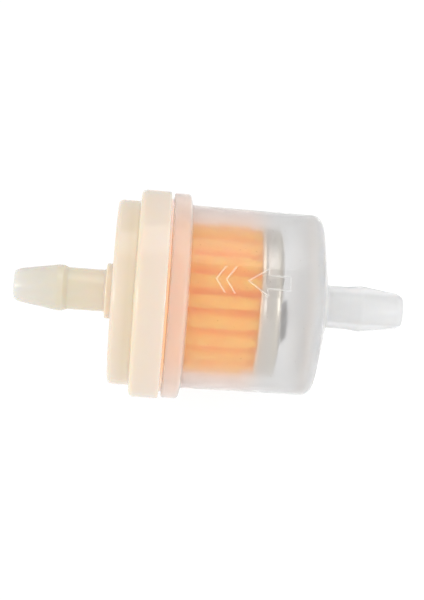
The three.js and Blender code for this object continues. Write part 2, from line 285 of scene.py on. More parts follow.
class Term:
    """A socket in a shader expression, which grows Math nodes as it is added to and multiplied."""

    def __init__(self, graph: "Graph", socket: bpy.types.NodeSocket) -> None:
        """Wrap one output socket of a graph."""
        self.graph = graph
        self.socket = socket

    def __add__(self, other: "Term | float") -> "Term":
        """Sum with a term or number."""
        return self.graph.maths("ADD", self, other)

    def __sub__(self, other: "Term | float") -> "Term":
        """Difference from a term or number."""
        return self.graph.maths("SUBTRACT", self, other)

    def __mul__(self, other: "Term | float") -> "Term":
        """Product with a term or number."""
        return self.graph.maths("MULTIPLY", self, other)

    def __radd__(self, other: float) -> "Term":
        """Sum with a number on the left."""
        return self.graph.maths("ADD", other, self)

    def __rsub__(self, other: float) -> "Term":
        """Difference of a number and this term."""
        return self.graph.maths("SUBTRACT", other, self)

    def __rmul__(self, other: float) -> "Term":
        """Product with a number on the left."""
        return self.graph.maths("MULTIPLY", other, self)


Value = Term | float | tuple[float, ...]
Sockets = dict[str | int, Value]


class Graph:
    """The node graph of one finish, or of the world."""

    def __init__(self, owner: Material | bpy.types.World, coordinates: str = "Object") -> None:
        """Empty a node tree.

        Args:
            owner: The material or world that owns the tree.
            coordinates: The coordinates that places are read in.
        """
        owner.use_nodes = True
        self.owner = owner
        self.tree = owner.node_tree
        self.tree.nodes.clear()
        self.place = self.term(self.node("ShaderNodeTexCoord"), coordinates)

    def node(
        self,
        kind: str,
        settings: dict[str, object] | None = None,
        sockets: Sockets | None = None,
    ) -> bpy.types.Node:
        """Make any node.

        Args:
            kind: The node's type.
            settings: Its properties, set first. The key stops gives a colour ramp's (place, colour) pairs.
            sockets: Values or links of its input sockets, by name or number.

        Returns:
            The new node.
        """
        made = self.tree.nodes.new(kind)
        for key, value in (settings or {}).items():
            if key == "stops":
                self._set_stops(made.color_ramp, value)
            else:
                setattr(made, key, value)
        for key, value in (sockets or {}).items():
            if isinstance(value, Term):
                self.tree.links.new(value.socket, made.inputs[key])
            else:
                made.inputs[key].default_value = value
        return made

    @staticmethod
    def _set_stops(ramp: bpy.types.ColorRamp, stops: Stops) -> None:
        """Give a colour ramp its stops."""
        while len(ramp.elements) < len(stops):
            ramp.elements.new(1.0)
        for element, (place, colour) in zip(ramp.elements, stops):
            element.position = place
            element.color = (*colour, 1.0)

    def term(self, node: bpy.types.Node, output: str | int = 0) -> Term:
        """One output of a node as a term."""
        return Term(self, node.outputs[output])

    def maths(self, operation: str, *values: Term | float) -> Term:
        """A Math node on terms and numbers."""
        return self.term(self.node("ShaderNodeMath", {"operation": operation}, dict(enumerate(values))))

    def axes(self) -> tuple[Term, Term, Term]:
        """The place on the piece as three terms, in metres."""
        split = self.node("ShaderNodeSeparateXYZ", sockets={0: self.place})
        return tuple(self.term(split, axis) for axis in "XYZ")

    def stretched(self, stretch: Triple) -> Term:
        """The place on the piece, multiplied along each axis."""
        sockets = {0: self.place, 1: stretch}
        return self.term(self.node("ShaderNodeVectorMath", {"operation": "MULTIPLY"}, sockets))

    def noise(
        self,
        size: float,
        detail: float = 3.0,
        rough: float = 0.5,
        stretch: Triple = (1.0, 1.0, 1.0),
    ) -> Term:
        """Noise from about 0 to 1.

        Args:
            size: The size of its features, in millimetres.
            detail: How many finer layers it has.
            rough: How strong the finer layers are.
            stretch: Multiplier of the place along each axis, below 1 for long features.

        Returns:
            The noise's value.
        """
        sockets = {
            "Vector": self.stretched(stretch),
            "Scale": 1.0 / (size * MM),
            "Detail": detail,
            "Roughness": rough,
        }
        return self.term(self.node("ShaderNodeTexNoise", sockets=sockets))

    def span(self, value: Term, low: float, high: float, smooth: bool = True) -> Term:
        """0 at low, 1 at high and clamped outside."""
        settings = {"interpolation_type": "SMOOTHSTEP" if smooth else "LINEAR"}
        sockets = {"Value": value, "From Min": low, "From Max": high}
        return self.term(self.node("ShaderNodeMapRange", settings, sockets))

    def ramp(self, value: Term, stops: Stops) -> Term:
        """A colour that changes with a value from 0 to 1."""
        return self.term(self.node("ShaderNodeValToRGB", {"stops": stops}, {0: value}))

    def blend(self, share: Value, first: Value, second: Value, how: str = "MIX") -> Term:
        """Mix two colours by a share, or multiply or screen them."""
        settings = {"data_type": "RGBA", "blend_type": how}
        first_socket, second_socket = 6, 7
        sockets = {0: share, first_socket: as_colour(first), second_socket: as_colour(second)}
        return self.term(self.node("ShaderNodeMix", settings, sockets), 2)

    def bump(self, height: Term, depth: float, strength: float = 1.0, under: Term | None = None) -> Term:
        """A surface relief.

        Args:
            height: Its height from 0 to 1.
            depth: What a height of 1 measures, in millimetres.
            strength: How much of it is used.
            under: Another relief that it lies on.

        Returns:
            The normal for a shader.
        """
        sockets: Sockets = {"Height": height, "Distance": depth * MM, "Strength": strength}
        if under is not None:
            sockets["Normal"] = under
        return self.term(self.node("ShaderNodeBump", sockets=sockets))

    def principled(self, sockets: Sockets) -> Term:
        """A Principled shader with the given sockets."""
        return self.term(self.node("ShaderNodeBsdfPrincipled", sockets=sockets))

    def finish(self, shader: Term) -> Material | bpy.types.World:
        """Link the shader to a new output and return the graph's owner."""
        kind = "World" if isinstance(self.owner, bpy.types.World) else "Material"
        self.node(f"ShaderNodeOutput{kind}", sockets={"Surface": shader})
        return self.owner

    def plain(self, sockets: Sockets) -> Material:
        """Finish the material with one Principled shader."""
        return self.finish(self.principled(sockets))


def new_graph(name: str) -> Graph:
    """The empty graph of a new material."""
    return Graph(bpy.data.materials.new(name))


def soft(weight: float, radius: Triple, depth: float) -> Sockets:
    """Sockets that let light spread under a surface.

    Args:
        weight: Share of the light that spreads.
        radius: How far red, green and blue spread, as a share of the depth.
        depth: The depth, in millimetres.

    Returns:
        The subsurface sockets.
    """
    return {"Subsurface Weight": weight, "Subsurface Radius": radius, "Subsurface Scale": depth * MM}


def as_colour(value: Value) -> Value:
    """A colour with its alpha, or the value as it is."""
    if isinstance(value, tuple) and len(value) == 3:
        return (*value, 1.0)
    return value


def srgb(red: int, green: int, blue: int) -> Triple:
    """A linear colour from its screen values from 0 to 255."""

    def linear(level: int) -> float:
        """One channel of the linear colour."""
        share = level / 255
        return share / 12.92 if share <= 0.04045 else ((share + 0.055) / 1.055) ** 2.4

    return (linear(red), linear(green), linear(blue))


# ---- Finishes -----------------------------------------------------------------------------------------


@dataclass(frozen=True)
class MilkyPlastic:
    """Natural polypropylene that lets the element show through, with a painted glow of the paper on the
    wall over it, on the flange and on the groove face.

    Args:
        name: The finish's name.
        clear_tint: Colour of one wall over the empty chamber.
        painted_paper_glow_tint: Colour of one wall over the paper, a painted orange glow of the paper.
        clearness: Share of the light that a wall passes on.
        flange_x: Where the thicker, milkier flange begins and ends.
        painted_glow_x: Where the painted glow of the paper fades out.
        end_x: Where the wall turns into the thicker end and spigot.
        flange_glow_tints: The two colours of the flange's clouds, peach for a painted glow of the paper
            behind it.
        groove_glow_tint: Colour of the flange's face in the groove, orange for a painted glow of the paper.
        end_tint: Colour of the thicker end and spigot.
        flange_share: How thick the flange looks, where 1 is a solid wall.
        end_share: How thick the end and spigot look.
    """

    name: str = "milky_plastic"
    clear_tint: Triple = (0.85, 0.85, 0.85)
    painted_paper_glow_tint: Triple = (0.93, 0.83, 0.79)
    clearness: float = 0.93
    flange_x: Pair = (-8.95, -4.9)
    painted_glow_x: Pair = (7.5, 13.0)
    end_x: Pair = (18.5, 22.5)
    flange_glow_tints: tuple[Triple, Triple] = ((0.89, 0.70, 0.60), (0.93, 0.75, 0.65))
    groove_glow_tint: Triple = (0.93, 0.58, 0.42)
    end_tint: Triple = (0.88, 0.88, 0.88)
    flange_share: float = 0.85
    end_share: float = 0.5

    def material(self) -> Material:
        """Build the finish."""
        graph = new_graph(self.name)
        x, _, _ = graph.axes()
        cloud = graph.noise(6.0, 3.0)
        speck = graph.span(graph.noise(0.9, 1.0), 0.74, 0.80)
        drag = graph.noise(0.5, 3.0, 0.6, (0.12, 1.0, 1.0))
        # Painted glow: over the paper the wall takes a warm colour that stands for the paper's light,
        # fading out along X.
        glow_from, glow_to = self.painted_glow_x
        painted_paper_glow = 1 - graph.span(x, glow_from * MM, glow_to * MM)
        tint = graph.blend(painted_paper_glow, self.clear_tint, self.painted_paper_glow_tint)
        tint = graph.blend(cloud * 0.3, tint, (0.93, 0.93, 0.93), "MULTIPLY")
        tint = graph.blend(speck * 0.35, tint, (0.35, 0.34, 0.33))
        relief = graph.bump(graph.noise(2.2, 2.0), 0.03, 0.3)
        relief = graph.bump(drag, 0.006, 0.4, relief)
        roughness = 0.37 + (cloud - 0.5) * 0.10 + (drag - 0.5) * 0.10

        def wall(colour: Term, clearness: float, radius: Triple) -> Term:
            """A glossy wall of one colour that passes light on and spreads it."""
            return graph.principled({
                "Base Color": colour,
                "Roughness": roughness,
                "IOR": 1.12,
                "Transmission Weight": clearness,
                **soft(1.0, radius, 4.0),
                "Normal": relief,
                "Coat Weight": 0.7,
                "Coat Roughness": 0.10,
                "Coat IOR": 1.45,
                "Sheen Weight": 0.32,
                "Sheen Roughness": 0.5,
            })

        start, end = self.flange_x
        # Painted glow: the flange's peach and the orange face in the groove stand for the paper's light
        # behind them.
        glow = 1 - graph.span(x, start * MM, (start + 0.15) * MM)
        painted_flange_glow = graph.blend(glow, graph.blend(cloud, *self.flange_glow_tints), self.groove_glow_tint)
        end_from, end_to = self.end_x
        at_end = graph.span(x, end_from * MM, end_to * MM)
        thin = wall(tint, self.clearness, (1.0, 1.0, 1.0))
        thick = wall(graph.blend(at_end, painted_flange_glow, self.end_tint), 0.5, (1.0, 0.9, 0.8))
        past_start = graph.span(x, start * MM, (start + 0.1) * MM)
        past_end = graph.span(x, (end - 0.6) * MM, end * MM)
        in_flange = past_start * (1 - past_end)
        share = in_flange * self.flange_share + at_end * self.end_share
        mixed = graph.node("ShaderNodeMixShader", sockets={0: share, 1: thin, 2: thick})
        return graph.finish(graph.term(mixed))


# Places along the axis and the screen colours there, before the brightness. They were tuned under the
# studio's light:
# besides the cap's cream, whiter at the spigot's tip, some stops paint highlights and shade on the corners
# of the drum and the flange, and some carry painted light that offsets the shade near the stem and where
# the drum meets the flange.
CREAM_WITH_PAINTED_LIGHT_ALONG_X = (
    (-42.0, (228, 227, 224)),
    (-36.0, (232, 228, 217)),
    (-31.0, (238, 231, 211)),
    (-24.0, (246, 234, 214)),
    (-21.5, (250, 232, 211)),
    (-20.3, (241, 229, 213)),
    (-17.6, (242, 227, 203)),
    (-16.2, (252, 238, 213)),
    (-15.2, (242, 228, 210)),
    (-9.6, (242, 228, 214)),
)


@dataclass(frozen=True)
class CreamPlastic:
    """Cream polypropylene of the cap, whiter at the spigot's tip, with painted highlights and shade along
    it.

    Args:
        span_x: Where the colours begin and end along the axis.
        brightness: What each colour of CREAM_WITH_PAINTED_LIGHT_ALONG_X is multiplied by.
        gloss_roughness: How matt the surface is.
    """

    span_x: Pair = (-42.5, -9.5)
    brightness: float = 0.815
    gloss_roughness: float = 0.11

    def material(self) -> Material:
        """Build the finish."""
        graph = new_graph("cream_plastic")
        x, _, _ = graph.axes()
        low, high = self.span_x
        along = graph.span(x, low * MM, high * MM, smooth=False)
        stops = [
            ((place - low) / (high - low), tuple(level * self.brightness for level in srgb(*screen)))
            for place, screen in CREAM_WITH_PAINTED_LIGHT_ALONG_X
        ]
        # The ramp lays painted highlights and painted shade on the cap's corners over its cream colour.
        colour = graph.ramp(along, stops)
        cloud = graph.noise(5.0, 3.0)
        colour = graph.blend(cloud * 0.25, colour, (0.97, 0.93, 0.86), "MULTIPLY")
        drag = graph.noise(0.6, 3.0, 0.6, (1.0, 0.15, 0.15))
        relief = graph.bump(graph.noise(2.5, 2.0), 0.05, 0.3)
        relief = graph.bump(drag, 0.012, 0.5, relief)
        roughness = self.gloss_roughness + (cloud - 0.5) * 0.08 + (drag - 0.5) * 0.06
        return graph.plain({
            "Base Color": colour,
            "Roughness": roughness,
            "IOR": 1.49,
            **soft(1.0, (1.0, 0.7, 0.45), 2.5),
            "Normal": relief,
        })


@dataclass(frozen=True)
class WeldPlastic:
    """Remelted plastic at the foot of the groove, its orange colour and emission a painted glow of the
    paper behind it, paler towards the top and bottom.
    """

    dark: Triple = (0.94, 0.68, 0.47)
    light: Triple = (0.98, 0.82, 0.66)
    edge: Triple = (0.90, 0.79, 0.73)

    def material(self) -> Material:
        """Build the finish."""
        graph = new_graph("weld_plastic")
        beads = graph.noise(1.6, 4.0, 0.6)
        _, _, z = graph.axes()
        # Painted glow: the orange fades to a paler colour towards the top and bottom, where less paper lies
        # behind.
        milky = graph.span(graph.maths("ABSOLUTE", z), 9.0 * MM, 18.0 * MM)
        colour = graph.blend(beads, self.dark, self.light)
        colour = graph.blend(milky, colour, self.edge)
        return graph.plain({
            "Base Color": colour,
            "Roughness": 0.3 + beads * 0.2,
            "IOR": 1.15,
            "Transmission Weight": 0.8,
            **soft(1.0, (1.0, 0.6, 0.3), 2.0),
            # The emission is a painted glow, the paper's light carried by the weld.
            "Emission Color": colour,
            "Emission Strength": 0.27,
            "Normal": graph.bump(beads, 0.12, 0.8),
        })


@dataclass(frozen=True)
class FilterPaper:
    """Resin treated filter paper, with fibres and cloudy resin, and a painted glow from emission that
    brightens it.
    """

    deep: Triple = (0.90, 0.46, 0.05)
    pale: Triple = (0.92, 0.59, 0.10)
    glow: float = 0.19

    def material(self) -> Material:
        """Build the finish."""
        graph = new_graph("filter_paper")
        resin = graph.noise(4.0, 4.0, 0.55)
        fibres = graph.noise(0.45, 5.0, 0.7, (0.35, 1.0, 1.0))
        grain = graph.noise(0.18, 3.0, 0.7)
        colour = graph.blend(graph.span(resin, 0.3, 0.7), self.deep, self.pale)
        colour = graph.blend(graph.span(fibres, 0.45, 0.75) * 0.3, colour, (0.98, 0.60, 0.22))
        relief = graph.bump(fibres, 0.06, 0.7)
        relief = graph.bump(grain, 0.03, 0.6, relief)
        return graph.plain({
            "Base Color": colour,
            "Roughness": 0.85 + (grain - 0.5) * 0.2,
            **soft(0.35, (1.0, 0.45, 0.15), 1.0),
            # Painted glow: the paper emits light of its own colour.
            "Emission Color": colour,
            "Emission Strength": self.glow,
            "Normal": relief,
        })


@dataclass(frozen=True)
class Tinplate:
    """Thin bright sheet, drawn to shape, with fine rubbing marks, a faint warm tarnish and painted
    highlights on the rim and the face's corner.
    """

    bright: Triple = (0.78, 0.74, 0.68)
    tarnish: Triple = (0.62, 0.55, 0.47)
    wear_and_highlight: Triple = (0.96, 0.86, 0.68)
    roughness: float = 0.34

    def material(self) -> Material:
        """Build the finish."""
        graph = new_graph("tinplate")
        cloud = graph.noise(5.0, 4.0, 0.6)
        rub = graph.noise(0.3, 4.0, 0.7, (1.0, 0.06, 0.06))
        wobble = graph.noise(3.5, 2.0, 0.4)
        colour = graph.blend(graph.span(cloud, 0.45, 0.75) * 0.5, self.bright, self.tarnish)
        x, _, _ = graph.axes()
        # Painted highlights: lighter bands on the rolled rim and on the corner of the face.
        rim = 1 - graph.span(x, 10.4 * MM, 11.2 * MM)
        corner = graph.span(x, 12.9 * MM, 13.6 * MM) * (1 - graph.span(x, 13.9 * MM, 14.5 * MM))
        colour = graph.blend(rim * 0.8 + corner * 0.35, colour, self.wear_and_highlight)
        relief = graph.bump(wobble, 0.10, 0.35)
        relief = graph.bump(rub, 0.012, 0.6, relief)
        return graph.plain({
            "Base Color": colour,
            "Metallic": 1.0,
            "Roughness": self.roughness + (cloud - 0.5) * 0.15 + (rub - 0.5) * 0.12,
            "Normal": relief,
        })


@dataclass(frozen=True)
class Adhesive:
    """Amber potting adhesive with a cloudy, slightly bubbled surface."""

    deep: Triple = (0.72, 0.47, 0.20)
    pale: Triple = (0.87, 0.67, 0.38)

    def material(self) -> Material:
        """Build the finish."""
        graph = new_graph("adhesive")
        cloud = graph.noise(3.0, 4.0)
        bubbles = graph.span(graph.noise(0.7, 1.0), 0.62, 0.72)
        return graph.plain({
            "Base Color": graph.blend(cloud, self.deep, self.pale),
            "Roughness": 0.35 + cloud * 0.25,
            **soft(0.5, (1.0, 0.6, 0.3), 1.0),
            "Normal": graph.bump(bubbles, 0.08, 0.6, graph.bump(cloud, 0.1, 0.5)),
        })


@dataclass(frozen=True)
class Ferrite:
    """Dark sintered magnet, ground on its faces and a little chipped."""

    dark: Triple = (0.25, 0.25, 0.26)
    wear_and_highlight: Triple = (0.52, 0.52, 0.53)

    def material(self) -> Material:
        """Build the finish."""
        graph = new_graph("ferrite")
        grain = graph.noise(0.25, 4.0, 0.7)
        patch = graph.noise(1.8, 3.0, 0.6)
        chips = graph.span(graph.noise(1.1, 3.0, 0.7), 0.58, 0.66)
        colour = graph.blend(graph.span(patch, 0.35, 0.7), self.dark, self.wear_and_highlight)
        relief = graph.bump(grain, 0.03, 0.6)
        relief = graph.bump(1 - chips, 0.12, 0.7, relief)
        return graph.plain({
            "Base Color": colour,
            "Metallic": 0.3,
            "Roughness": 0.45 + grain * 0.25,
            "Normal": relief,
        })


class Finishes:
    """All the filter's materials, each built once."""

    def __init__(self) -> None:
        """Build every finish."""
        self.milky = MilkyPlastic().material()
        # The marks also take a painted glow of the paper over them.
        self.mark = MilkyPlastic(name="milky_mark", clearness=0.58, painted_paper_glow_tint=(0.98, 0.91, 0.86)).material()
        self.cream = CreamPlastic().material()
        self.weld = WeldPlastic().material()
        self.paper = FilterPaper().material()
        self.tin = Tinplate().material()
        self.glue = Adhesive().material()
        self.ferrite = Ferrite().material()


def dress(piece: Piece, *materials: Material) -> None:
    """Give a piece its materials and use the last of them on every face."""
    for material in materials:
        piece.data.materials.append(material)
    last = len(materials) - 1
    piece.data.polygons.foreach_set("material_index", [last] * len(piece.data.polygons))


def fit(piece: Piece, node: str, slot: str, *materials: Material) -> None:
    """Let a finished piece stand for its node.

    Args:
        piece: The finished piece.
        node: The CAD node that it stands for.
        slot: The record's material slot, not used.
        *materials: Its materials, left out if it is dressed already.
    """
    if materials:
        dress(piece, *materials)
    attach(piece, ROOT)
    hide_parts(node)
    LOG.info("%s: %d faces, stands for %s", piece.name, len(piece.data.polygons), node)


# ---- Mouldings ----------------------------------------------------------------------------------------


@dataclass(frozen=True)
class Spigot:
    """A barbed spigot, drawn from its tip towards the housing.

    Args:
        tip_x: Where its tip is.
        inward: +1 if the housing lies towards +X, and -1 if towards -X.
        nose: Length of the rounded nose and radius where it runs into the taper.
        barb: Where the barb begins and ends from the tip, and its radius.
        stem: Where the stem begins from the tip, and its radius.
        bore_r: Radius of the bore.
        land_r: Outer radius of the ring round the bore.
    """

    tip_x: float
    inward: int
    nose: Pair
    barb: Triple
    stem: Pair
    bore_r: float = 2.9
    land_r: float = 3.02

    def corners(self) -> list[Corner]:
        """The outline from the bore's mouth to the start of the stem."""
        nose_length, nose_r = self.nose
        barb_start, barb_end, barb_r = self.barb
        stem_start, stem_r = self.stem
        curve = ((0, 0), (0.02, 0.08), (0.08, 0.2), (0.2, 0.35), (0.45, 0.62), (0.7, 0.83), (1, 1))
        places = [(0.12, self.bore_r, 0.0), (0.0, self.bore_r + 0.06, 0.0)]
        rise = nose_r - self.land_r
        places += [(nose_length * along, self.land_r + rise * up, 0.0) for along, up in curve]
        places += [(barb_start, barb_r, 1.2), (barb_end, barb_r, 0.5), (stem_start, stem_r, 1.0)]
        return [Corner(self.tip_x + self.inward * along, r, fillet) for along, r, fillet in places]


@dataclass
class CapMoulding:
    """The cream outlet moulding: spigot, collar, drum, flange and the socket for the bowl."""

    collar_x: float = -22.45
    collar_r: float = 6.0
    drum_x: float = -20.8
    drum_r: float = 20.0
    flange_x: float = -16.05
    face_x: float = -9.6
    socket_r: float = 20.2
    socket_floor_x: float = -15.0
    inner_r: float = 18.2
    floor_x: float = -18.6
    rib_top_x: float = -17.2
    rib_wall: float = 0.6
    seat_r: Pair = (7.1, 16.4)
    tip_x: float = field(init=False)
    flange_r: float = field(init=False)

    def __post_init__(self) -> None:
        """Take the overall sizes from the CAD node."""
        low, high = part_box("cap")
        self.tip_x = low[0] / MM
        self.flange_r = (high[2] - low[2]) / 2 / MM

    def outline(self) -> list[Corner]:
        """The section of the moulding above the axis."""
        spigot = Spigot(self.tip_x, 1, nose=(2.0, 3.77), barb=(9.3, 10.5, 4.99), stem=(11.5, 4.54))
        seat_low, seat_high = self.seat_r
        bore = spigot.bore_r
        return [
            *spigot.corners(),
            Corner(self.collar_x, spigot.stem[1], 0.5),
            Corner(self.collar_x, self.collar_r, 0.4),
            Corner(self.drum_x, self.collar_r, 0.3),
            Corner(self.drum_x, self.drum_r, 1.0, 8),
            Corner(self.flange_x, self.drum_r, 0.25),
            Corner(self.flange_x, self.flange_r, 1.1, 8),
            Corner(self.face_x, self.flange_r, 0.3),
            Corner(self.face_x + 0.1, 21.0),
            Corner(-10.3, self.socket_r),
            Corner(self.socket_floor_x, self.socket_r, 0.2, 2),
            Corner(self.socket_floor_x, self.inner_r, 0.2, 2),
            Corner(self.floor_x, self.inner_r, 0.6),
            Corner(self.floor_x, seat_high + self.rib_wall),
            Corner(self.rib_top_x, seat_high + self.rib_wall, 0.15, 2),
            Corner(self.rib_top_x, seat_high, 0.15, 2),
            Corner(self.floor_x, seat_high),
            Corner(self.floor_x, seat_low),
            Corner(self.rib_top_x, seat_low, 0.15, 2),
            Corner(self.rib_top_x, seat_low - self.rib_wall, 0.15, 2),
            Corner(self.floor_x, seat_low - self.rib_wall),
            Corner(self.floor_x, bore + 1.0, 0.3),
            Corner(self.floor_x - 1.0, bore, 0.3),
        ]

    def build(self, finishes: Finishes) -> None:
        """Make and dress the moulding."""
        piece = turned("cap_moulding", self.outline())
        fit(piece, "cap", "cream_plastic", finishes.cream)


@dataclass
class BowlMoulding:
    """The milky inlet moulding: flange, drafted barrel, shallow conical end, spigot and raised marks."""

    wall: float = 1.65
    end_r: float = 19.59
    front_r: float = 19.88
    corner_r: float = 2.1
    edge_x: float = 22.87
    cone_degrees: float = 10.4
    flange_x: float = -9.0
    flange_back_x: float = -5.42
    flange_root_x: float = -4.9
    skirt_r: float = 19.9
    skirt_x: float = -14.7
    mark_up_degrees: float = 32.0
    mark_height: float = 0.28
    mark_line: float = 0.31
    tip_x: float = field(init=False)
    flange_r: float = field(init=False)

    def __post_init__(self) -> None:
        """Take the overall sizes from the CAD node."""
        low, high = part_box("bowl")
        self.tip_x = high[0] / MM
        self.flange_r = (high[2] - low[2]) / 2 / MM

    def end_x(self, r: float, inset: float = 0.0) -> float:
        """Where the conical end's surface is at a radius, drawn in by an inset along its normal."""
        slope = math.tan(math.radians(self.cone_degrees))
        drawn_in = inset / math.cos(math.radians(self.cone_degrees))
        return self.edge_x - drawn_in + (self.end_r - r) * slope

    def barrel_r(self, x: float) -> float:
        """The barrel's outer radius at x, on its draft."""
        corner_x = self.end_x(self.end_r)
        share = (x - self.flange_root_x) / (corner_x - self.flange_root_x)
        return self.front_r + (self.end_r - self.front_r) * share

    def outline(self) -> list[Corner]:
        """The section of the moulding above the axis."""
        spigot = Spigot(self.tip_x, -1, nose=(1.5, 3.87), barb=(8.9, 9.4, 4.93), stem=(11.9, 4.6))
        inner_r = self.end_r - self.wall
        bore = spigot.bore_r
        mouth = 1.0
        mouth_x = self.end_x(bore + mouth, self.wall)
        return [
            *spigot.corners(),
            Corner(self.end_x(spigot.stem[1]), spigot.stem[1], 0.6),
            Corner(self.end_x(self.end_r), self.end_r, self.corner_r, 12),
            Corner(self.flange_root_x, self.front_r, 0.25),
            Corner(self.flange_back_x, self.flange_r, 0.85, 6),
            Corner(self.flange_x + 0.1, self.flange_r, 0.35),
            Corner(self.flange_x, 21.0),
            Corner(self.flange_x, self.skirt_r),
            Corner(self.skirt_x, self.skirt_r, 0.4, 3),
            Corner(self.skirt_x, self.front_r - self.wall),
            Corner(self.end_x(inner_r, self.wall), inner_r, self.corner_r - self.wall, 10),
            Corner(mouth_x, bore + mouth, 0.3),
            Corner(mouth_x + mouth, bore, 0.3),
        ]

    def mark_point(self, x: float, across: float, out: float) -> Vector:
        """A place over the barrel where the marks stand.

        Args:
            x: Place along the axis.
            across: Distance round the barrel from the marks' middle line.
            out: Distance from the axis.

        Returns:
            The place in metres.
        """
        angle = math.radians(self.mark_up_degrees)
        round_way = Vector((0.0, math.sin(angle), math.cos(angle)))
        out_way = Vector((0.0, -math.cos(angle), math.sin(angle)))
        return (Vector((x, 0.0, 0.0)) + round_way * across + out_way * out) * MM

    def raised(self, name: str, corners: Sequence[Pair], outlined: bool) -> Piece:
        """A raised mark with a curved top, its foot sunk in the barrel.

        Args:
            name: The mark's name.
            corners: Its corners as (x, across) pairs.
            outlined: Whether only a line round its edge stands up.

        Returns:
            The mark, ready to be joined to the barrel.
        """
        foot = self.end_r - 1.0
        height = 2.5
        mark = draw_face(name, [self.mark_point(x, across, foot) for x, across in corners])
        if outlined:
            bpy.ops.mesh.inset(thickness=self.mark_line * MM, use_even_offset=True)
            bpy.ops.mesh.delete(type="FACE")
        bpy.ops.mesh.select_all(action="SELECT")
        bpy.ops.object.mode_set(mode="OBJECT")
        modify(mark, "SOLIDIFY", thickness=height * MM, offset=0.0, use_even_offset=False)
        close_up(mark)
        sunk = 0.4
        from_x, to_x = 0.0, 18.0
        skin = turned(
            "mark_skin",
            [
                Corner(from_x, self.barrel_r(from_x) - sunk),
                Corner(from_x, self.barrel_r(from_x) + self.mark_height),
                Corner(to_x, self.barrel_r(to_x) + self.mark_height),
                Corner(to_x, self.barrel_r(to_x) - sunk),
            ],
        )
        combine(mark, skin, Op.KEEP)
        limit = math.radians(50)
        modify(mark, "BEVEL", width=0.09 * MM, segments=2, limit_method="ANGLE", angle_limit=limit)
        return mark

    def marks(self) -> Iterator[Piece]:
        """The flow arrow and the two chevrons ahead of it."""
        head, shaft, tip, base, end = 3.1, 1.56, 6.9, 11.35, 16.0
        below = [(tip, 0.0), (base, -head), (base, -shaft), (end, -shaft)]
        arrow = below + [(x, -across) for x, across in below[:0:-1]]
        yield self.raised("arrow_mark", arrow, outlined=True)
        depth, half = 1.9, 2.8
        line = self.mark_line / math.sin(math.atan2(half, depth))
        for number, at_x in enumerate((0.3, 2.4)):
            back = at_x + depth
            front_edge = [(back, half), (at_x, 0.0), (back, -half)]
            chevron = front_edge + [(x + line, across) for x, across in reversed(front_edge)]
            yield self.raised(f"chevron_mark_{number}", chevron, outlined=False)

    def build(self, finishes: Finishes) -> None:
        """Make and dress the moulding."""
        piece = turned("bowl_moulding", self.outline())
        dress(piece, finishes.milky)
        piece.data.materials.append(finishes.mark)
        for mark in self.marks():
            dress(mark, finishes.milky, finishes.mark)
            combine(piece, mark, Op.JOIN)
        close_up(piece)
        fit(piece, "bowl", "milky_plastic")


@dataclass
class WeldSeam:
    """The ring of remelted plastic at the foot of the groove between the two flanges."""

    inner_r: float = 20.0
    top_r: float = 20.9

    def build(self, finishes: Finishes) -> None:
        """Make and dress the ring."""
        low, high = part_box("weld_seam")
        left, right = low[0] / MM, high[0] / MM
        outline = [
            Corner(right, self.inner_r),
            Corner(right, self.top_r, 0.15, 3),
            Corner(left + 0.7, self.top_r - 0.1, 0.15, 3),
            Corner(left, self.inner_r + 0.15),
            Corner(left, self.inner_r),
        ]
        piece = turned("weld_bead", outline)
        roughen(piece, "weld_beads", 2.0, 0.08)
        fit(piece, "weld_seam", "weld_plastic", finishes.weld)


# ---- Element ------------------------------------------------------------------------------------------


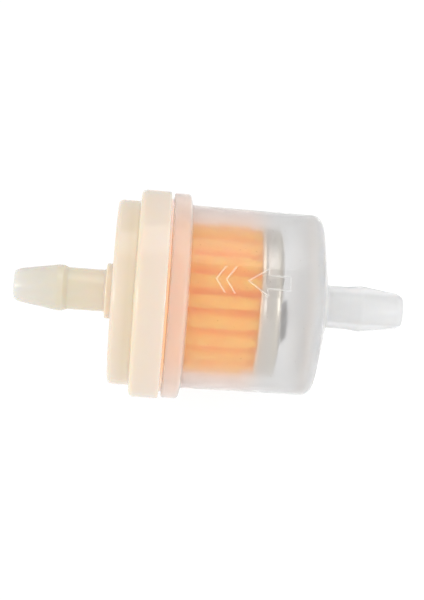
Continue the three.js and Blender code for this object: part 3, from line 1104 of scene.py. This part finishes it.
@dataclass
class PleatPack:
    """The pleated sheet and the clip that closes it.

    Outside the end cap, left of cup_x, the crests beyond crest_r stand further out by the factor bulge.
    """

    pleats: int = 22
    thickness: float = 0.45
    outer_r: float = 15.35
    inner_r: float = 8.65
    outer_fold: float = 1.15
    inner_fold: float = 0.55
    seam_degrees: float = -50.0
    seam_end_r: float = 14.4
    seam_bend_r: float = 11.6
    seam_half_gap: float = 0.35
    wander: float = 0.55
    along_steps: int = 26
    cup_x: float = 8.4
    crest_r: float = 12.0
    bulge: float = 1.035

    def fold(self, angle: float, middle_r: float, fold_r: float, side: int, steps: int) -> list[Vector]:
        """Places round one fold of the sheet, at x = 0.

        Args:
            angle: Where the fold stands round the axis.
            middle_r: The sheet's radius at the fold's crest.
            fold_r: Radius of the fold itself.
            side: +1 for an outer fold and -1 for an inner one.
            steps: Edges round the fold.

        Returns:
            The places in order of angle.
        """
        spread = math.radians(80)
        places = []
        for i in range(steps + 1):
            turn = -spread + 2 * spread * i / steps
            centre = ring_point(0, middle_r - side * fold_r, angle)
            towards = angle + turn if side > 0 else angle + math.pi - turn
            places.append(centre + ring_point(0, fold_r, towards))
        return places

    def seam_point(self, r: float, side: int) -> Vector:
        """A place on one of the two free ends, beside the seam."""
        angle = math.radians(self.seam_degrees)
        across = Vector((0.0, -math.sin(angle), math.cos(angle)))
        return ring_point(0, r, angle) + across * side * self.seam_half_gap * MM

    def sheet_line(self) -> list[Vector]:
        """The sheet's middle line from one free end to the other."""
        step = FULL_TURN / self.pleats
        start = math.radians(self.seam_degrees)
        line = [self.seam_point(self.seam_end_r, 1), self.seam_point(self.seam_bend_r, 1)]
        for number in range(self.pleats):
            if number > 0:
                line += self.fold(start + number * step, self.outer_r, self.outer_fold, 1, 8)
            line += self.fold(start + (number + 0.5) * step, self.inner_r, self.inner_fold, -1, 4)
        line += [self.seam_point(self.seam_bend_r, -1), self.seam_point(self.seam_end_r, -1)]
        return line

    def build_sheet(self, finishes: Finishes) -> None:
        """Make and dress the pleated sheet."""
        low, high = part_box("pleated_paper")
        start = Vector((low[0], 0, 0))
        piece = draw_chain("paper_sheet", [place + start for place in self.sheet_line()])
        bpy.ops.mesh.select_all(action="SELECT")
        step = Vector(((high[0] - low[0]) / self.along_steps, 0, 0))
        for _ in range(self.along_steps):
            bpy.ops.mesh.extrude_region_move(TRANSFORM_OT_translate={"value": step})
        bpy.ops.mesh.select_all(action="SELECT")
        bpy.ops.mesh.normals_make_consistent(inside=False)
        bpy.ops.object.mode_set(mode="OBJECT")
        roughen(piece, "paper_ripples", 7.0, self.wander, layers=1)
        modify(piece, "SOLIDIFY", thickness=self.thickness * MM, offset=0.0)
        bpy.ops.object.mode_set(mode="EDIT")
        cup_x, crest_r = self.cup_x * MM, self.crest_r * MM
        select_vertices(piece, lambda place: place.x < cup_x and place.yz.length > crest_r)
        bulge = (1.0, self.bulge, self.bulge)
        bpy.ops.transform.resize(value=bulge, center_override=(0.0, 0.0, 0.0))
        close_up(piece)
        shade(piece, 60)
        fit(piece, "pleated_paper", "filter_paper", finishes.paper)

    def build_clip(self, finishes: Finishes) -> None:
        """Make and dress the clip over the sheet's free ends."""
        low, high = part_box("seam_clip")
        foot, top, outer, wall = 12.3, 14.9, 1.0, 0.3
        inner = outer - wall
        half = [(foot, outer), (foot, inner), (top - wall, inner)]
        section = half + [(r, -side) for r, side in reversed(half)] + [(top, -outer), (top, outer)]
        angle = math.radians(self.seam_degrees)
        across = Vector((0.0, -math.sin(angle), math.cos(angle))) * MM
        start = Vector((low[0], 0, 0))
        corners = [ring_point(0, r, angle) + across * side + start for r, side in section]
        piece = draw_face("seam_strip", corners)
        bpy.ops.object.mode_set(mode="OBJECT")
        modify(piece, "SOLIDIFY", thickness=high[0] - low[0], offset=1.0)
        close_up(piece)
        place = sum((Vector(corner) for corner in piece.bound_box), Vector()) / 8
        shift(piece, ((low[0] + high[0]) / 2 - place.x, 0, 0))
        modify(piece, "BEVEL", width=0.1 * MM, segments=2, limit_method="ANGLE")
        close_up(piece)
        fit(piece, "seam_clip", "tinplate", finishes.tin)

    def build(self, finishes: Finishes) -> None:
        """Make the sheet and its clip."""
        self.build_sheet(finishes)
        self.build_clip(finishes)


@dataclass
class CoreTube:
    """The slotted tube inside the pleats."""

    outer_r: float = 8.0
    wall: float = 0.4
    slot: Pair = (5.0, 2.6)
    rows: int = 4
    pairs: int = 3

    def cutter(self, from_x: float, to_x: float) -> Piece:
        """All the slots as one tool."""
        cutters = []
        pitch = (to_x - from_x) / self.rows
        length, width = self.slot
        for row in range(self.rows):
            for pair in range(self.pairs):
                start_fresh()
                turn = math.pi * (pair + row / 2) / self.pairs
                place = (from_x + pitch * (row + 0.5)) * MM
                bpy.ops.mesh.primitive_cube_add(size=1.0, location=(place, 0, 0), rotation=(turn, 0, 0))
                cutter = bpy.context.object
                cutter.scale = (length * MM, width * MM, self.outer_r * 3 * MM)
                bpy.ops.object.transform_apply(location=True, rotation=True, scale=True)
                modify(cutter, "BEVEL", width=0.6 * MM, segments=4, limit_method="ANGLE")
                cutters.append(cutter)
        start_fresh()
        for cutter in cutters:
            cutter.select_set(True)
        bpy.context.view_layer.objects.active = cutters[0]
        bpy.ops.object.join()
        return cutters[0]

    def build(self, finishes: Finishes) -> None:
        """Make and dress the tube."""
        low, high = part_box("core_tube")
        from_x, to_x = low[0] / MM, high[0] / MM
        inner_r = self.outer_r - self.wall
        outline = [
            Corner(from_x, inner_r),
            Corner(from_x, self.outer_r, 0.1, 2),
            Corner(to_x, self.outer_r, 0.1, 2),
            Corner(to_x, inner_r),
        ]
        piece = turned("core_sleeve", outline, 96)
        combine(piece, self.cutter(from_x, to_x), Op.CUT, use_self=True)
        close_up(piece)
        fit(piece, "core_tube", "tinplate", finishes.tin)


@dataclass
class EndClosure:
    """The tinplate cup with its rolled rim and the adhesive inside it."""

    wall: float = 0.35
    side_r: float = 16.1
    bead: float = 0.25
    corner: float = 1.5

    def build(self, finishes: Finishes) -> None:
        """Make and dress the cup and its adhesive."""
        low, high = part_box("end_cap")
        rim_x, face_x = low[0] / MM, high[0] / MM
        inner_r = self.side_r - self.wall
        outline = [
            Corner(face_x, 0),
            Corner(face_x, 13.2, 0.4),
            Corner(face_x - 0.12, 13.4, 0.4),
            Corner(face_x - 0.12, self.side_r, self.corner, 8),
            Corner(rim_x + 1.35, self.side_r, 0.3),
            Corner(rim_x + 0.95, self.side_r + self.bead, 0.35, 5),
            Corner(rim_x, self.side_r + self.bead, 0.5, 6),
            Corner(rim_x, inner_r, 0.12, 3),
            Corner(face_x - 0.12 - self.wall, inner_r, self.corner - self.wall, 6),
            Corner(face_x - 0.12 - self.wall, 0),
        ]
        cup = turned("end_cup", outline)
        fit(cup, "end_cap", "tinplate", finishes.tin)
        glue_low, glue_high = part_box("end_cap_potting")
        front_x, back_x = glue_low[0] / MM, glue_high[0] / MM - 0.12
        glue_r = inner_r - 0.1
        outline = [
            Corner(front_x + 0.15, 0),
            Corner(front_x + 0.15, 7.0, 1.0),
            Corner(front_x, 9.0, 1.0),
            Corner(front_x, glue_r, 0.1, 2),
            Corner(back_x - 0.75, glue_r, 0.2, 2),
            Corner(back_x, glue_r - 1.4, 0.2, 2),
            Corner(back_x, 0),
        ]
        glue = turned("end_glue", outline, 128)
        fit(glue, "end_cap_potting", "adhesive", finishes.glue)


@dataclass
class SeatGlue:
    """The ring of adhesive that bonds the element into the cap."""

    def build(self, finishes: Finishes) -> None:
        """Make and dress the ring."""
        low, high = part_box("seat_potting")
        floor_x, top_x = low[0] / MM, high[0] / MM
        inner_r, outer_r = 7.2, 16.3
        middle_r = (inner_r + outer_r) / 2
        outline = [
            Corner(floor_x, inner_r, 0.1, 2),
            Corner(floor_x, outer_r, 0.1, 2),
            Corner(top_x, outer_r, 0.1, 2),
            Corner(top_x - 0.2, outer_r - 0.9, 1.2),
            Corner(top_x - 0.2, middle_r),
            Corner(top_x - 0.2, inner_r + 0.9, 1.2),
            Corner(top_x, inner_r, 0.1, 2),
        ]
        piece = turned("seat_glue", outline, 128)
        fit(piece, "seat_potting", "adhesive", finishes.glue)


@dataclass
class TrapMagnet:
    """The disc magnet on the end cap's outer face."""

    radius: float = 4.4
    chamfer: float = 0.35

    def build(self, finishes: Finishes) -> None:
        """Make and dress the magnet."""
        low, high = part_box("magnet")
        thickness = (high[0] - low[0]) / MM
        outline = [
            Corner(0, 0),
            Corner(0, self.radius - self.chamfer, 0.1, 2),
            Corner(self.chamfer, self.radius, 0.3, 3),
            Corner(thickness - self.chamfer, self.radius, 0.3, 3),
            Corner(thickness, self.radius - self.chamfer, 0.1, 2),
            Corner(thickness, 0),
        ]
        piece = turned("trap_magnet", outline, 96)
        shift(piece, (low[0], (low[1] + high[1]) / 2, (low[2] + high[2]) / 2))
        roughen(piece, "magnet_chips", 1.2, 0.1, middle=0.7)
        fit(piece, "magnet", "ferrite", finishes.ferrite)


# ---- Studio -------------------------------------------------------------------------------------------


@dataclass(frozen=True)
class SoftBox:
    """A soft rectangular light.

    Args:
        name: Its name.
        place: Where its middle is, in millimetres.
        size: Its width and height, in millimetres.
        brightness: Its radiance, where 1 shows as plain white.
        target: What it faces, in millimetres.
    """

    name: str
    place: Triple
    size: Pair
    brightness: float
    target: Triple = (0.0, 0.0, 0.0)

    def build(self) -> None:
        """Add the light."""
        data = bpy.data.lights.new(self.name, "AREA")
        data.shape = "RECTANGLE"
        data.size, data.size_y = (side * MM for side in self.size)
        data.energy = self.brightness * math.pi * data.size * data.size_y
        light = bpy.data.objects.new(self.name, data)
        bpy.context.collection.objects.link(light)
        place = Vector(self.place) * MM
        light.location = place
        light.rotation_euler = (Vector(self.target) * MM - place).to_track_quat("-Z", "Y").to_euler()


@dataclass
class Studio:
    """A bright plain floor, soft light and the camera."""

    floor_z: float = -22.5
    floor_side: float = 6000.0
    floor_glow: float = 0.95
    floor_base: float = 0.10
    world_level: float = 0.85
    front_level: float = 0.92
    camera_distance: float = 323.0
    camera_x: float = -14.5
    camera_up_degrees: float = 20.0
    camera_roll_degrees: float = 4.1
    picture_mm: float = 36.0
    lens_mm: float = 89.2
    aim_right: float = 0.717
    aim_down: float = 0.42

    def build_floor(self) -> None:
        """Add the floor, which glows enough to leave only a faint shadow."""
        start_fresh()
        bpy.ops.mesh.primitive_plane_add(size=self.floor_side * MM, location=(0, 0, self.floor_z * MM))
        floor = bpy.context.object
        floor.name = "studio_floor"
        graph = new_graph("studio_floor")
        base = self.floor_base
        shader = graph.principled({
            "Base Color": (base, base, base, 1.0),
            "Roughness": 0.9,
            "Specular IOR Level": 0.0,
            "Emission Color": (1.0, 1.0, 1.0, 1.0),
            "Emission Strength": self.floor_glow,
        })
        floor.data.materials.append(graph.finish(shader))

    def build_world(self) -> None:
        """Add the even light all round, a little brighter in front of the filter."""
        world = bpy.data.worlds.new("studio_world")
        bpy.context.scene.world = world
        graph = Graph(world, "Generated")
        up_angle = math.radians(self.camera_up_degrees)
        front = (0.0, -math.cos(up_angle), math.sin(up_angle))
        dot = {"operation": "DOT_PRODUCT"}
        facing = graph.term(graph.node("ShaderNodeVectorMath", dot, {0: graph.place, 1: front}), "Value")
        levels = {"Value": facing, "To Min": self.world_level, "To Max": self.front_level}
        smooth = {"interpolation_type": "SMOOTHSTEP"}
        level = graph.term(graph.node("ShaderNodeMapRange", smooth, levels))
        graph.finish(graph.term(graph.node("ShaderNodeBackground", sockets={"Color": level})))

    def build_lights(self) -> None:
        """Add the overhead softbox, and one in front on each side."""
        SoftBox("overhead_softbox", (0, -95, 600), (320, 380), 1.3, (0, -95, 0)).build()
        for name, side in (("left_softbox", -1), ("right_softbox", 1)):
            SoftBox(name, (side * 500, -430, 125), (430, 200), 3.5).build()

    def build_camera(self) -> None:
        """Add the camera, turned so that the filter's axis slopes a little down to the right."""
        up_angle = math.radians(self.camera_up_degrees)
        distance = self.camera_distance
        place = Vector((self.camera_x, -distance * math.cos(up_angle), distance * math.sin(up_angle)))
        back = place.normalized()
        up = Vector((0.0, math.sin(up_angle), math.cos(up_angle)))
        right = up.cross(back)
        roll = math.radians(self.camera_roll_degrees)
        right, up = (
            right * math.cos(roll) + up * math.sin(roll),
            up * math.cos(roll) - right * math.sin(roll),
        )
        offset = right * self.aim_right - up * self.aim_down
        data = bpy.data.cameras.new("studio_camera")
        data.sensor_fit = "VERTICAL"
        data.sensor_height = self.picture_mm
        data.lens = self.lens_mm
        data.clip_start = 0.01
        camera = bpy.data.objects.new("studio_camera", data)
        bpy.context.collection.objects.link(camera)
        turn = Matrix((right, up, back)).transposed().to_4x4()
        camera.matrix_world = Matrix.Translation((place + offset) * MM) @ turn
        bpy.context.scene.camera = camera

    def build(self) -> None:
        """Set up the whole studio."""
        bpy.context.scene.view_settings.view_transform = "Standard"
        self.build_floor()
        self.build_world()
        self.build_lights()
        self.build_camera()


# ---- Assembly -----------------------------------------------------------------------------------------


def main() -> None:
    """Build the filter, its finishes and the studio in order."""
    logging.basicConfig(level=logging.INFO, format="%(name)s: %(message)s")
    finishes = Finishes()
    kinds = (CapMoulding, BowlMoulding, WeldSeam, PleatPack, CoreTube, EndClosure, SeatGlue, TrapMagnet)
    for kind in kinds:
        kind().build(finishes)
    Studio().build()


if __name__ == "__main__":
    main()
